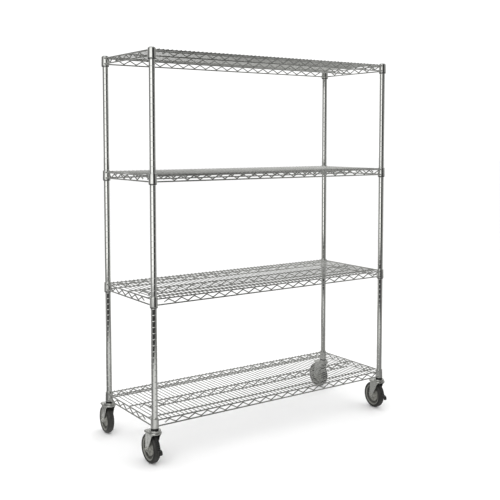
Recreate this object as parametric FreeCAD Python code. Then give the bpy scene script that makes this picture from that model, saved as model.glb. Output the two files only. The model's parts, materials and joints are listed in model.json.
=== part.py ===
"""Four-shelf chrome wire rack on swivel casters.

Four grooved tube posts carry four welded wire shelves. Each shelf has a collar at every corner, and the
collar wedges down on a tapered two-piece plastic sleeve that clips into a groove of the post. A stem
caster with a rubber-tyred wheel stands under each post, and the two front casters have a foot brake.

A shelf's cross wires are joined by its front and back rim rods, and rest on two stringers and on the
trusses. The long trusses are a lower rod and a bent wire, which is welded up to the rim rod.

Frame: millimetres, +X along the long side, -Y the front, +Z up. The origin is on the floor, at the centre
of the rectangle of the four posts.
"""

import FreeCAD
import Part
import math
import os

V = FreeCAD.Vector
X_AXIS = V(1, 0, 0)
Y_AXIS = V(0, 1, 0)
Z_AXIS = V(0, 0, 1)
ORIGIN = V(0, 0, 0)

# --- driving dimensions, mm ---
POST_SPACING_X = 1276.0      # post axis to post axis along the shelf
POST_SPACING_Y = 438.0       # post axis to post axis across the shelf
SHELF_SPACING = 508.0        # 20 grooves of 25.4
LOWEST_COLLAR_Z = 160.0      # underside of the bottom shelf's collars

# posts
POST_R = 12.7
POST_WALL = 1.2
GROOVE_PITCH = 25.4
GROOVE_DEPTH = 0.8
GROOVE_HALF_WIDTH = 1.2
POST_TOP_BELOW_COLLAR = 1.0
CAP_HEIGHT = 5.0
CAP_CHAMFER = 2.5
CAP_PLUG_DEPTH = 14.0
CAP_PLUG_CLEARANCE = 0.1

# sleeves and collars: tapered, wider at the bottom
COLLAR_HEIGHT = 41.0
COLLAR_OUTER_BOTTOM_R = 17.4
COLLAR_OUTER_TOP_R = 16.4
SLEEVE_HEIGHT = 39.0
SLEEVE_BOTTOM_R = 15.4
SLEEVE_TOP_R = 14.2
SLEEVE_CLEARANCE = 0.05
SLEEVE_SPLIT = 1.0           # gap between the two halves
LIP_R = 16.4
LIP_HEIGHT = 3.7
LIP_GAP = 0.3                # lip to collar
RIDGE_HEIGHT = 19.0          # inner ridge above the collar's underside, where the groove is
RIDGE_REACH = 0.6
POST_BOTTOM_Z = LOWEST_COLLAR_Z - LIP_GAP - LIP_HEIGHT

# shelf wires
ROD_R = 3.0                  # rods of the trusses, rim rods and stringers
SNAKE_R = 2.5                # bent wire between a truss's rods
DECK_WIRE_R = 1.8            # cross wires
WELD_BITE = 0.5              # how far crossing wires are pressed into each other
BOTTOM_ROD_Z = 8.0           # rod heights above the collar's underside
TOP_ROD_Z = 33.0
TRUSS_OFFSET = 9.0           # trusses run this far outside the post axes
STRINGER_INSET = 42.0        # stringers run this far inside the post axes
SNAKE_PITCH = 62.3
DECK_PITCH = SNAKE_PITCH / 3
DECK_WIRES = 61
DECK_FIRST_WIRE = 9.5        # from the left post axis
DECK_WIRE_OVERHANG = 1.5     # past the rim rods' axes
COLLAR_CLEARANCE = 0.6       # cross wires end this far from a collar
SNAKE_BEND_R = 8.0
SNAKE_FREE_END_Z = 17.5
LONG_SNAKE_FIRST_TOP = 64.6  # from the left post axis
LONG_SNAKE_BOTTOMS = 19
END_SNAKE_FIRST_TOP = 88.2   # from the front post axis
END_SNAKE_BOTTOMS = 5
CENTRE_ROD_LEFT_INSET = 90.0
CENTRE_ROD_RIGHT_INSET = 18.0
ROD_END_R = 16.2             # rods end inside the collar's wall, at this radius from the post axis

# casters
WHEEL_R = 63.5
TYRE_HALF_WIDTH = 16.0
TYRE_SHOULDER_R = 11.0
TREAD_GROOVE_DEPTH = 1.2
TREAD_GROOVE_HALF_WIDTH = 0.9
TREAD_GROOVE_PLACES = (-3.2, 3.2)
RIM_R = 50.5
TRAIL = 36.0                 # wheel axis behind the swivel axis
BUMPER_R = 16.8
BUMPER_HEIGHT = 4.0
BUMPER_BOTTOM_Z = POST_BOTTOM_Z - BUMPER_HEIGHT
STEM_LENGTH = 42.0           # inside the post
STEM_CLEARANCE = 0.1
NECK_R = 8.0
KINGPIN_R = 6.0
RUNNING_GAP = 0.05
RACE_R = 25.0
RACE_LIP = 1.5
RACE_TOP_THICKNESS = 3.5
BALL_R = 2.35
BALL_RING_R = 16.0
BALLS = 12
CROWN_TOP_Z = 143.5
CROWN_PLATE = 3.0
CROWN_SKIRT = 4.5
CROWN_R = 29.0
CROWN_BACK = 50.0
CROWN_BACK_CORNER_R = 12.0
SHEET = 2.5                  # fork sheet steel
LEG_INNER = 18.8             # fork leg's inner face from the wheel's middle
LEG_BOSS_R = 12.0
# the leg's hollow front edge below the crown, as (place, height), from its arch down to the boss
LEG_FRONT_EDGE = (
    (-21.0, 136.0),
    (-15.5, 133.0),
    (-11.0, 128.5),
    (-7.0, 122.0),
    (-3.0, 113.5),
    (3.0, 101.0),
    (10.0, 88.0),
    (17.0, 76.5),
)
KINGPIN_HEAD_R = 9.0
KINGPIN_HEAD = 3.0
AXLE_R = 4.0
BUSH_R = 6.2
BOSS_HALF_WIDTH = 17.5
BOSS_R = 16.0
WEB_HALF_WIDTH = 5.0
RIM_HALF_WIDTH = 13.0
RIM_THICKNESS = 4.0
RIBS = 8
RIB_THICKNESS = 3.0
RIB_HALF_WIDTH = 8.5
BOLT_FLAT_RADIUS = 7.5       # hexagon's corner radius
BOLT_HEAD = 5.0
NUT_HEIGHT = 6.0
BOLT_STANDS_OUT = 2.0

# foot brake: a lever on a cross pin between the fork's legs, with its arm ahead of the tyre
BRAKE_PIN_R = 3.0
BRAKE_PIN_Y = 2.0
BRAKE_PIN_Z = 127.5
BRAKE_PIN_HEAD_R = 4.5
BRAKE_PIN_HEAD = 1.2
BARREL_R = 6.0
BARREL_HALF_WIDTH = 17.5
ARM_INNER_R = 70.5           # from the wheel's axis
ARM_THICKNESS = 4.0
ARM_HALF_WIDTH = 6.0
ARM_LOW_ANGLE = 7.0          # where the arm ends, degrees above the axle
TAB_ROOT_ANGLE = 10.0
TAB_HALF_WIDTH = 9.0
TAB_REACH = 14.0
TAB_DROP = 19.0
TAB_BULGE = 6.0              # how far the tab's middle stands off its chord

POSTS = {
    "front_left": (-1, -1),
    "front_right": (1, -1),
    "back_left": (-1, 1),
    "back_right": (1, 1),
}
# how far each caster has swung at rest, degrees about +Z
SWIVEL = {"front_left": 0.0, "front_right": -4.0, "back_left": -5.0, "back_right": 2.0}
BRAKED = ("front_left", "front_right")
SHELVES = ("bottom", "lower", "upper", "top")


def post_place(name):
    """The post's axis on the floor."""
    side_x, side_y = POSTS[name]
    return V(side_x * POST_SPACING_X / 2, side_y * POST_SPACING_Y / 2, 0)


def shelf_z(shelf):
    """Underside of a shelf's collars."""
    return LOWEST_COLLAR_Z + SHELVES.index(shelf) * SHELF_SPACING


def revolved(outline, axis, angle=360.0):
    """A closed outline of points turned round an axis through the origin."""
    wire = Part.makePolygon(outline + [outline[0]])
    return Part.Face(wire).revolve(ORIGIN, axis, angle)


def turned_z(radius_height, angle=360.0):
    """(radius, height) pairs turned round Z."""
    return revolved([V(r, 0, z) for r, z in radius_height], Z_AXIS, angle)


def rod(start, end, radius):
    direction = end - start
    return Part.makeCylinder(radius, direction.Length, start, direction)


def joined(shapes):
    """Crossing wires welded into one solid."""
    return shapes[0].multiFuse(shapes[1:]).Solids[0]


def group(shapes):
    return Part.makeCompound(shapes)


# --- posts ---

def post_top_z():
    return shelf_z("top") + COLLAR_HEIGHT - POST_TOP_BELOW_COLLAR


def post():
    """A tube with a shallow groove round it every 25.4 mm."""
    bottom = POST_BOTTOM_Z
    top = post_top_z()
    outline = [(POST_R - POST_WALL, bottom), (POST_R, bottom)]
    z = LOWEST_COLLAR_Z + RIDGE_HEIGHT
    while z < top - GROOVE_HALF_WIDTH:
        outline.append((POST_R, z - GROOVE_HALF_WIDTH))
        outline.append((POST_R - GROOVE_DEPTH, z))
        outline.append((POST_R, z + GROOVE_HALF_WIDTH))
        z += GROOVE_PITCH
    outline += [(POST_R, top), (POST_R - POST_WALL, top)]
    return turned_z(outline)


def post_cap():
    """A cap with a chamfered rim, on a plug that fills the tube's mouth."""
    top = post_top_z()
    plug_r = POST_R - POST_WALL - CAP_PLUG_CLEARANCE
    return turned_z([
        (0, top - CAP_PLUG_DEPTH),
        (plug_r - 1.0, top - CAP_PLUG_DEPTH),
        (plug_r, top - CAP_PLUG_DEPTH + 1.0),
        (plug_r, top),
        (POST_R, top),
        (POST_R, top + CAP_HEIGHT - CAP_CHAMFER),
        (POST_R - CAP_CHAMFER, top + CAP_HEIGHT),
        (0, top + CAP_HEIGHT),
    ])


# --- sleeves and collars ---

def half_sleeve():
    """Half of the split sleeve: a tapered shell with a lip below and a ridge for the post's groove."""
    inner = POST_R + SLEEVE_CLEARANCE
    split_angle = math.degrees(SLEEVE_SPLIT / POST_R)
    half = turned_z([
        (inner, -LIP_GAP - LIP_HEIGHT),
        (LIP_R, -LIP_GAP - LIP_HEIGHT),
        (LIP_R, -LIP_GAP),
        (SLEEVE_BOTTOM_R, -LIP_GAP),
        (SLEEVE_BOTTOM_R, 0),
        (SLEEVE_TOP_R, SLEEVE_HEIGHT),
        (inner, SLEEVE_HEIGHT),
        (inner, RIDGE_HEIGHT + 1.0),
        (inner - RIDGE_REACH, RIDGE_HEIGHT),
        (inner, RIDGE_HEIGHT - 1.0),
    ], 180.0 - split_angle)
    half.rotate(ORIGIN, Z_AXIS, split_angle / 2)
    return half


def sleeves():
    """A pair of halves on every post under every shelf."""
    halves = []
    for shelf in SHELVES:
        for name in POSTS:
            for turn in (0, 180):
                half = half_sleeve()
                half.rotate(ORIGIN, Z_AXIS, turn)
                half.translate(post_place(name) + V(0, 0, shelf_z(shelf)))
                halves.append(half)
    return group(halves)


def sleeve_r(height):
    """Outer radius of the sleeve's taper, which carries on to the collar's top."""
    return SLEEVE_BOTTOM_R + (SLEEVE_TOP_R - SLEEVE_BOTTOM_R) * height / SLEEVE_HEIGHT


def collars(shelf):
    """Four tapered collars, open top and bottom."""
    bore_bottom = sleeve_r(0) + SLEEVE_CLEARANCE
    bore_top = sleeve_r(COLLAR_HEIGHT) + SLEEVE_CLEARANCE
    made = []
    for name in POSTS:
        collar = turned_z([
            (bore_bottom, 0),
            (COLLAR_OUTER_BOTTOM_R, 0),
            (COLLAR_OUTER_TOP_R, COLLAR_HEIGHT),
            (bore_top, COLLAR_HEIGHT),
        ])
        collar.translate(post_place(name) + V(0, 0, shelf_z(shelf)))
        made.append(collar)
    return group(made)


# --- shelf wires, made once with the collars' underside at Z 0 ---

def snake_points(length, first_top, bottoms):
    """Corners of the bent wire between two rods, as (distance along, height), from its free end."""
    slope = math.atan2(TOP_ROD_Z - BOTTOM_ROD_Z - 2 * (ROD_R + SNAKE_R - WELD_BITE), SNAKE_PITCH / 2)
    past_bend = SNAKE_BEND_R * (1 / math.cos(slope) - 1)
    high = TOP_ROD_Z - ROD_R - SNAKE_R + WELD_BITE + past_bend
    low = BOTTOM_ROD_Z + ROD_R + SNAKE_R - WELD_BITE - past_bend
    run = SNAKE_PITCH / 2
    free_run = run * (high - SNAKE_FREE_END_Z) / (high - low)
    points = [(first_top - free_run, SNAKE_FREE_END_Z), (first_top, high)]
    for i in range(bottoms):
        at = first_top + run + i * SNAKE_PITCH
        points.append((at, low))
        points.append((min(at + run, length - ROD_END_R), high))
    return points


def bent_wire(corners, radius, bend_r):
    """A round wire through the corners, with a tangent arc at each bend."""
    edges = []
    last = corners[0]
    for before, corner, after in zip(corners, corners[1:], corners[2:]):
        back = (before - corner).normalize()
        on = (after - corner).normalize()
        half_turn = (math.pi - back.getAngle(on)) / 2
        reach = bend_r * math.tan(half_turn)
        start = corner + back * reach
        end = corner + on * reach
        towards = (back + on).normalize()
        middle = corner + towards * (bend_r / math.cos(half_turn) - bend_r)
        edges.append(Part.LineSegment(last, start).toShape())
        edges.append(Part.Arc(start, middle, end).toShape())
        last = end
    edges.append(Part.LineSegment(last, corners[-1]).toShape())
    path = Part.Wire(edges)
    section = Part.Wire([Part.makeCircle(radius, corners[0], corners[1] - corners[0])])
    return path.makePipeShell([section], True, False)


def x_rod(start_x, end_x, y, z):
    return rod(V(start_x, y, z), V(end_x, y, z), ROD_R)


def half_truss(length, first_top, bottoms, lower_from, lower_to):
    """A lower rod with the bent wire welded on it, along +X from 0."""
    corners = [V(x, 0, z) for x, z in snake_points(length, first_top, bottoms)]
    return [bent_wire(corners, SNAKE_R, SNAKE_BEND_R), x_rod(lower_from, lower_to, 0, BOTTOM_ROD_Z)]


def cut_at_posts(shape, radius):
    """The shape without what lies inside this radius of a post's axis."""
    for name in POSTS:
        place = post_place(name) - V(0, 0, COLLAR_HEIGHT)
        shape = shape.cut(Part.makeCylinder(radius, 3 * COLLAR_HEIGHT, place))
    return shape


def long_truss(side_y):
    """Front or back truss below its rim rod, side_y -1 or 1."""
    made = joined(half_truss(POST_SPACING_X, LONG_SNAKE_FIRST_TOP, LONG_SNAKE_BOTTOMS, 0, POST_SPACING_X))
    made.translate(V(-POST_SPACING_X / 2, side_y * (POST_SPACING_Y / 2 + TRUSS_OFFSET), 0))
    return cut_at_posts(made, ROD_END_R).Solids[0]


def end_truss(side_x):
    """Left or right truss, side_x -1 or 1, with both its rods."""
    made = joined(half_truss(POST_SPACING_Y, END_SNAKE_FIRST_TOP, END_SNAKE_BOTTOMS, 0, POST_SPACING_Y)
                  + [x_rod(0, POST_SPACING_Y, 0, TOP_ROD_Z)])
    made.rotate(ORIGIN, Z_AXIS, 90)
    made.translate(V(side_x * (POST_SPACING_X / 2 + TRUSS_OFFSET), -POST_SPACING_Y / 2, 0))
    return cut_at_posts(made, ROD_END_R).Solids[0]


def end_rod_face():
    """How far from the shelf's middle the inner side of an end truss's rod is, with the weld's bite."""
    return POST_SPACING_X / 2 + TRUSS_OFFSET - ROD_R + WELD_BITE


def centre_truss():
    """The truss under the middle of the deck, with an upper rod from end truss to end truss."""
    made = joined(half_truss(POST_SPACING_X, LONG_SNAKE_FIRST_TOP, LONG_SNAKE_BOTTOMS,
                             CENTRE_ROD_LEFT_INSET, POST_SPACING_X - CENTRE_ROD_RIGHT_INSET)
                  + [x_rod(POST_SPACING_X / 2 - end_rod_face(), POST_SPACING_X / 2 + end_rod_face(),
                           0, TOP_ROD_Z)])
    made.translate(V(-POST_SPACING_X / 2, 0, 0))
    return made


def stringers():
    """Two rods under the cross wires, from end truss to end truss."""
    inset_y = POST_SPACING_Y / 2 - STRINGER_INSET
    return group([x_rod(-end_rod_face(), end_rod_face(), side_y * inset_y, TOP_ROD_Z) for side_y in (-1, 1)])


def deck():
    """Cross wires on the front and back rim rods. The leftmost wire stops short of the collars."""
    rim_y = POST_SPACING_Y / 2 + TRUSS_OFFSET
    rims = [x_rod(-POST_SPACING_X / 2, POST_SPACING_X / 2, side_y * rim_y, TOP_ROD_Z) for side_y in (-1, 1)]
    rims = [cut_at_posts(rim, ROD_END_R).Solids[0] for rim in rims]
    reach = rim_y + DECK_WIRE_OVERHANG
    z = TOP_ROD_Z + ROD_R + DECK_WIRE_R - WELD_BITE
    wires = []
    for i in range(DECK_WIRES):
        x = -POST_SPACING_X / 2 + DECK_FIRST_WIRE + i * DECK_PITCH
        wires.append(rod(V(x, -reach, z), V(x, reach, z), DECK_WIRE_R))
    first = cut_at_posts(wires[0], COLLAR_OUTER_TOP_R + COLLAR_CLEARANCE)
    first = max(first.Solids, key=lambda piece: piece.Volume)
    return group([joined(rims + wires[1:]), first])


# --- casters, made with the swivel axis on Z, the floor at Z 0 and the wheel trailing towards +Y ---

def caster_placed(shape, name, swung=True):
    placed = shape.copy()
    if swung:
        placed.rotate(ORIGIN, Z_AXIS, SWIVEL[name])
    placed.translate(post_place(name))
    return placed


def stem():
    """Stem, upper ball race and kingpin with its riveted head."""
    stem_r = POST_R - POST_WALL - STEM_CLEARANCE
    race_bottom = CROWN_TOP_Z + 2 * BALL_R + 0.3
    race_top = race_bottom + RACE_TOP_THICKNESS
    head_top = CROWN_TOP_Z - CROWN_PLATE - 0.3
    body = turned_z([
        (0, head_top - KINGPIN_HEAD),
        (KINGPIN_HEAD_R - 1, head_top - KINGPIN_HEAD),
        (KINGPIN_HEAD_R, head_top - KINGPIN_HEAD + 1),
        (KINGPIN_HEAD_R, head_top),
        (KINGPIN_R, head_top),
        (KINGPIN_R, race_bottom),
        (RACE_R - RACE_LIP, race_bottom),
        (RACE_R - RACE_LIP, CROWN_TOP_Z + 0.5),
        (RACE_R, CROWN_TOP_Z + 0.5),
        (RACE_R, race_top - 1),
        (RACE_R - 1, race_top),
        (NECK_R, race_top),
        (NECK_R, POST_BOTTOM_Z + 2),
        (stem_r, POST_BOTTOM_Z + 4),
        (stem_r, POST_BOTTOM_Z + STEM_LENGTH - 2),
        (stem_r - 2, POST_BOTTOM_Z + STEM_LENGTH),
        (0, POST_BOTTOM_Z + STEM_LENGTH),
    ])
    return body


def bumper():
    """Rubber ring between the caster and the post's end."""
    return turned_z([
        (NECK_R + RUNNING_GAP, BUMPER_BOTTOM_Z),
        (BUMPER_R - 0.8, BUMPER_BOTTOM_Z),
        (BUMPER_R, BUMPER_BOTTOM_Z + 0.8),
        (BUMPER_R, POST_BOTTOM_Z - 0.8),
        (BUMPER_R - 0.8, POST_BOTTOM_Z),
        (NECK_R + RUNNING_GAP, POST_BOTTOM_Z),
    ])


def swivel_balls():
    balls = []
    for i in range(BALLS):
        angle = 2 * math.pi * i / BALLS
        centre = V(BALL_RING_R * math.cos(angle), BALL_RING_R * math.sin(angle), CROWN_TOP_Z + BALL_R + 0.15)
        balls.append(Part.makeSphere(BALL_R, centre))
    return balls


def crown_outline(inset, z):
    """Round at the front and squared off behind, with rounded corners."""
    side = CROWN_R - inset
    back = CROWN_BACK - inset
    corner = CROWN_BACK_CORNER_R - inset
    diagonal = corner * (1 - math.sqrt(0.5))
    edges = [
        Part.Arc(V(side, 0, z), V(0, -side, z), V(-side, 0, z)).toShape(),
        Part.LineSegment(V(-side, 0, z), V(-side, back - corner, z)).toShape(),
        Part.Arc(V(-side, back - corner, z), V(-side + diagonal, back - diagonal, z),
                 V(-side + corner, back, z)).toShape(),
        Part.LineSegment(V(-side + corner, back, z), V(side - corner, back, z)).toShape(),
        Part.Arc(V(side - corner, back, z), V(side - diagonal, back - diagonal, z),
                 V(side, back - corner, z)).toShape(),
        Part.LineSegment(V(side, back - corner, z), V(side, 0, z)).toShape(),
    ]
    return Part.Face(Part.Wire(edges))


def fork_leg():
    """Right leg: it arches out of the crown's front, and narrows backward to a round boss at the axle."""
    top_z = CROWN_TOP_Z - CROWN_PLATE
    bend_z = top_z - CROWN_SKIRT
    axle = V(LEG_INNER, TRAIL, WHEEL_R)
    corners = [V(LEG_INNER, LEG_FRONT_EDGE[0][0], top_z)]
    corners += [V(LEG_INNER, y, z) for y, z in LEG_FRONT_EDGE]
    corners += [
        V(LEG_INNER, TRAIL - LEG_BOSS_R, WHEEL_R + 3),
        V(LEG_INNER, TRAIL + LEG_BOSS_R, WHEEL_R + 3),
        V(LEG_INNER, TRAIL + 8, bend_z),
        V(LEG_INNER, TRAIL + 10, top_z),
    ]
    plate = Part.Face(Part.makePolygon(corners + [corners[0]])).extrude(X_AXIS * SHEET)
    boss = Part.makeCylinder(LEG_BOSS_R, SHEET, axle, X_AXIS)
    return plate.fuse(boss).removeSplitter()


def fork(braked):
    """Pressed steel fork: a skirted crown with two legs, bored for the kingpin, the axle and a brake pin."""
    top = crown_outline(0, CROWN_TOP_Z)
    cup = top.extrude(Z_AXIS * -(CROWN_PLATE + CROWN_SKIRT))
    hollow = crown_outline(SHEET, CROWN_TOP_Z - CROWN_PLATE).extrude(Z_AXIS * -(CROWN_SKIRT + 1))
    cup = cup.cut(hollow)
    right = fork_leg()
    left = right.mirror(ORIGIN, X_AXIS)
    # a flange carries each leg from the skirt in to the wheel's side
    shoulder_length = CROWN_BACK - CROWN_BACK_CORNER_R
    shoulder_width = CROWN_R - LEG_INNER - 0.5
    shoulders = [
        Part.makeBox(shoulder_width, shoulder_length, SHEET,
                     V(start, 0, CROWN_TOP_Z - CROWN_PLATE - CROWN_SKIRT))
        for start in (LEG_INNER, -LEG_INNER - shoulder_width)
    ]
    body = cup.multiFuse([right, left] + shoulders)
    kingpin_start = V(0, 0, CROWN_TOP_Z - 1.5 * CROWN_PLATE)
    body = body.cut(Part.makeCylinder(KINGPIN_R + RUNNING_GAP, 2 * CROWN_PLATE, kingpin_start))
    body = body.cut(cross_bore(TRAIL, WHEEL_R, AXLE_R + RUNNING_GAP))
    if braked:
        body = body.cut(cross_bore(BRAKE_PIN_Y, BRAKE_PIN_Z, BRAKE_PIN_R + RUNNING_GAP))
    return body.Solids[0]


def cross_bore(y, z, radius):
    """A cylinder through both legs."""
    return rod(V(-2 * LEG_INNER, y, z), V(2 * LEG_INNER, y, z), radius)


def on_axle(radius_width):
    """(radius, place across) pairs turned round the axle."""
    solid = revolved([V(across, r, 0) for r, across in radius_width], X_AXIS)
    solid.translate(V(0, TRAIL, WHEEL_R))
    return solid


def hexagon(start_x, length):
    corners = []
    for i in range(7):
        angle = math.pi / 3 * i
        corners.append(V(start_x, TRAIL + BOLT_FLAT_RADIUS * math.cos(angle),
                         WHEEL_R + BOLT_FLAT_RADIUS * math.sin(angle)))
    return Part.Face(Part.makePolygon(corners)).extrude(X_AXIS * length)


def axle_bolt():
    """Bolt with its head on the left and a nut on the right."""
    outer = LEG_INNER + SHEET
    shank = rod(V(-outer, TRAIL, WHEEL_R), V(outer + NUT_HEIGHT + BOLT_STANDS_OUT, TRAIL, WHEEL_R), AXLE_R)
    bolt = shank.fuse(hexagon(-outer - BOLT_HEAD, BOLT_HEAD)).removeSplitter()
    nut = hexagon(outer, NUT_HEIGHT).cut(rod(V(0, TRAIL, WHEEL_R), V(3 * outer, TRAIL, WHEEL_R), AXLE_R))
    return [bolt.Solids[0], nut.Solids[0]]


def axle_bush():
    """Spacer tube between the fork legs that the hub turns on."""
    half = LEG_INNER - RUNNING_GAP
    bore = AXLE_R + RUNNING_GAP
    return on_axle([(bore, -half), (BUSH_R, -half), (BUSH_R, half), (bore, half)])


def hub():
    """Moulded wheel centre: a boss, a ribbed web with a raised ring on each face, and a rim."""
    bore = BUSH_R + RUNNING_GAP
    half = [
        (bore, BOSS_HALF_WIDTH),
        (BOSS_R - 3, BOSS_HALF_WIDTH),
        (BOSS_R, BOSS_HALF_WIDTH - 3),
        (BOSS_R + 1, WEB_HALF_WIDTH + 1),
        (27, WEB_HALF_WIDTH),
        (28, WEB_HALF_WIDTH + 2.5),
        (31, WEB_HALF_WIDTH + 2.5),
        (32, WEB_HALF_WIDTH),
        (RIM_R - RIM_THICKNESS - 2, WEB_HALF_WIDTH + 1),
        (RIM_R - RIM_THICKNESS, RIM_HALF_WIDTH),
        (RIM_R, RIM_HALF_WIDTH),
    ]
    other = [(r, -across) for r, across in reversed(half)]
    body = on_axle(half + other)
    ribs = []
    rib_start = BOSS_R - 2
    rib_end = RIM_R - RIM_THICKNESS + 1
    for i in range(RIBS):
        rib = Part.makeBox(2 * RIB_HALF_WIDTH, rib_end - rib_start, RIB_THICKNESS,
                           V(-RIB_HALF_WIDTH, rib_start, -RIB_THICKNESS / 2))
        rib.rotate(ORIGIN, X_AXIS, 360.0 * i / RIBS)
        rib.translate(V(0, TRAIL, WHEEL_R))
        ribs.append(rib)
    return body.multiFuse(ribs).Solids[0]


def tyre():
    """Rubber tread with round shoulders and two shallow grooves."""
    outline = [(RIM_R, -RIM_HALF_WIDTH)]
    centre_r = WHEEL_R - TYRE_SHOULDER_R
    centre_w = TYRE_HALF_WIDTH - TYRE_SHOULDER_R
    outline.append((RIM_R + 0.5, -TYRE_HALF_WIDTH))
    steps = 8
    for i in range(steps + 1):
        angle = math.pi / 2 * i / steps
        outline.append((centre_r + TYRE_SHOULDER_R * math.sin(angle),
                        -centre_w - TYRE_SHOULDER_R * math.cos(angle)))
    for place in TREAD_GROOVE_PLACES:
        outline.append((WHEEL_R, place - TREAD_GROOVE_HALF_WIDTH))
        outline.append((WHEEL_R - TREAD_GROOVE_DEPTH, place))
        outline.append((WHEEL_R, place + TREAD_GROOVE_HALF_WIDTH))
    for i in range(steps, -1, -1):
        angle = math.pi / 2 * i / steps
        outline.append((centre_r + TYRE_SHOULDER_R * math.sin(angle),
                        centre_w + TYRE_SHOULDER_R * math.cos(angle)))
    outline.append((RIM_R + 0.5, TYRE_HALF_WIDTH))
    outline.append((RIM_R, RIM_HALF_WIDTH))
    return on_axle(outline)


def brake_pin():
    """Cross pin with a head at each end, which the brake lever turns on."""
    outer = LEG_INNER + SHEET
    shank = rod(V(-outer, BRAKE_PIN_Y, BRAKE_PIN_Z), V(outer, BRAKE_PIN_Y, BRAKE_PIN_Z), BRAKE_PIN_R)
    heads = [rod(V(side * outer, BRAKE_PIN_Y, BRAKE_PIN_Z),
                 V(side * (outer + BRAKE_PIN_HEAD), BRAKE_PIN_Y, BRAKE_PIN_Z), BRAKE_PIN_HEAD_R)
             for side in (-1, 1)]
    return shank.multiFuse(heads).Solids[0]


def round_wheel(radius, degrees):
    """A point in the wheel's plane, by its angle above the axle on the front side."""
    angle = math.radians(degrees)
    return V(0, TRAIL - radius * math.cos(angle), WHEEL_R + radius * math.sin(angle))


def strip(start, middle, end, offset, half_width):
    """A curved strip: an arc through three points, given thickness by an offset, and a width along X."""
    outline = Part.Wire([
        Part.Arc(start, middle, end).toShape(),
        Part.LineSegment(end, end + offset).toShape(),
        Part.Arc(end + offset, middle + offset, start + offset).toShape(),
        Part.LineSegment(start + offset, start).toShape(),
    ])
    made = Part.Face(outline).extrude(X_AXIS * (2 * half_width))
    made.translate(V(-half_width, 0, 0))
    return made


def brake_arm():
    """The part of a ring round the tyre's front from the pin down to the tab."""
    pin_angle = math.degrees(math.atan2(BRAKE_PIN_Z - WHEEL_R, TRAIL - BRAKE_PIN_Y))
    places = (ARM_LOW_ANGLE, (ARM_LOW_ANGLE + pin_angle) / 2, pin_angle)
    inner = [round_wheel(ARM_INNER_R, degrees) for degrees in places]
    outer = [round_wheel(ARM_INNER_R + ARM_THICKNESS, degrees) for degrees in places]
    outline = Part.Wire([
        Part.Arc(*inner).toShape(),
        Part.LineSegment(inner[2], outer[2]).toShape(),
        Part.Arc(outer[2], outer[1], outer[0]).toShape(),
        Part.LineSegment(outer[0], inner[0]).toShape(),
    ])
    arm = Part.Face(outline).extrude(X_AXIS * (2 * ARM_HALF_WIDTH))
    arm.translate(V(-ARM_HALF_WIDTH, 0, 0))
    return arm


def brake_tab():
    """The foot's tab, curling out and down from the arm's lower end."""
    root = round_wheel(ARM_INNER_R + ARM_THICKNESS, TAB_ROOT_ANGLE)
    tip = root + V(0, -TAB_REACH, -TAB_DROP)
    along = (tip - root).normalize()
    outward = V(0, along.z, -along.y)
    middle = (root + tip) * 0.5 + outward * TAB_BULGE
    return strip(root, middle, tip, outward * -ARM_THICKNESS, TAB_HALF_WIDTH)


def brake_lever():
    """A barrel on the pin, the arm and the tab."""
    start = V(-BARREL_HALF_WIDTH, BRAKE_PIN_Y, BRAKE_PIN_Z)
    barrel = Part.makeCylinder(BARREL_R, 2 * BARREL_HALF_WIDTH, start, X_AXIS)
    lever = barrel.multiFuse([brake_arm(), brake_tab()])
    return lever.cut(cross_bore(BRAKE_PIN_Y, BRAKE_PIN_Z, BRAKE_PIN_R + RUNNING_GAP)).Solids[0]


# --- the nodes ---

def all_nodes():
    nodes = {}
    for name in POSTS:
        tube = post()
        tube.translate(post_place(name))
        nodes["post_" + name] = tube
    nodes["post_caps"] = group([caster_placed(post_cap(), name, swung=False) for name in POSTS])

    wire_parts = {
        "deck": deck(),
        "stringers": stringers(),
        "front_truss": long_truss(-1),
        "back_truss": long_truss(1),
        "centre_truss": centre_truss(),
        "end_trusses": group([end_truss(-1), end_truss(1)]),
    }
    for shelf in SHELVES:
        for part_name, shape in wire_parts.items():
            placed = shape.copy()
            placed.translate(V(0, 0, shelf_z(shelf)))
            nodes[shelf + "_shelf_" + part_name] = placed
        nodes[shelf + "_shelf_collars"] = collars(shelf)
    nodes["sleeves"] = sleeves()

    fixed = {"caster_stems": stem, "caster_bumpers": bumper}
    for node, make in fixed.items():
        nodes[node] = group([caster_placed(make(), name, swung=False) for name in POSTS])
    nodes["swivel_balls"] = group([caster_placed(ball, name) for name in POSTS for ball in swivel_balls()])
    for name in POSTS:
        prefix = name + "_caster_"
        braked = name in BRAKED
        nodes[prefix + "fork"] = caster_placed(fork(braked), name)
        fasteners = axle_bolt() + ([brake_pin()] if braked else [])
        nodes[prefix + "fasteners"] = caster_placed(group(fasteners), name)
        nodes[prefix + "bush"] = caster_placed(axle_bush(), name)
        nodes[prefix + "hub"] = caster_placed(hub(), name)
        nodes[prefix + "tyre"] = caster_placed(tyre(), name)
        if braked:
            nodes[prefix + "brake_lever"] = caster_placed(brake_lever(), name)
    return nodes


def main():
    os.makedirs("parts", exist_ok=True)
    for node, shape in all_nodes().items():
        solids = shape.Solids
        valid = all(s.isValid() for s in solids)
        print(node, len(solids), "solids, valid" if valid else "solids, NOT VALID", round(shape.Volume))
        shape.exportStep("parts/" + node + ".step")


main()
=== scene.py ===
"""Looks of the wire shelving rack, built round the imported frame.

Shapes are made in millimetres and placed in metres. A shelf's wires are made once, with the underside of its
collars at height 0. A caster's moving parts are made once, with the swivel axis upright at 0, 0, the floor at
height 0 and the wheel trailing towards +Y. The rest is made at its real height.
"""

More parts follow.
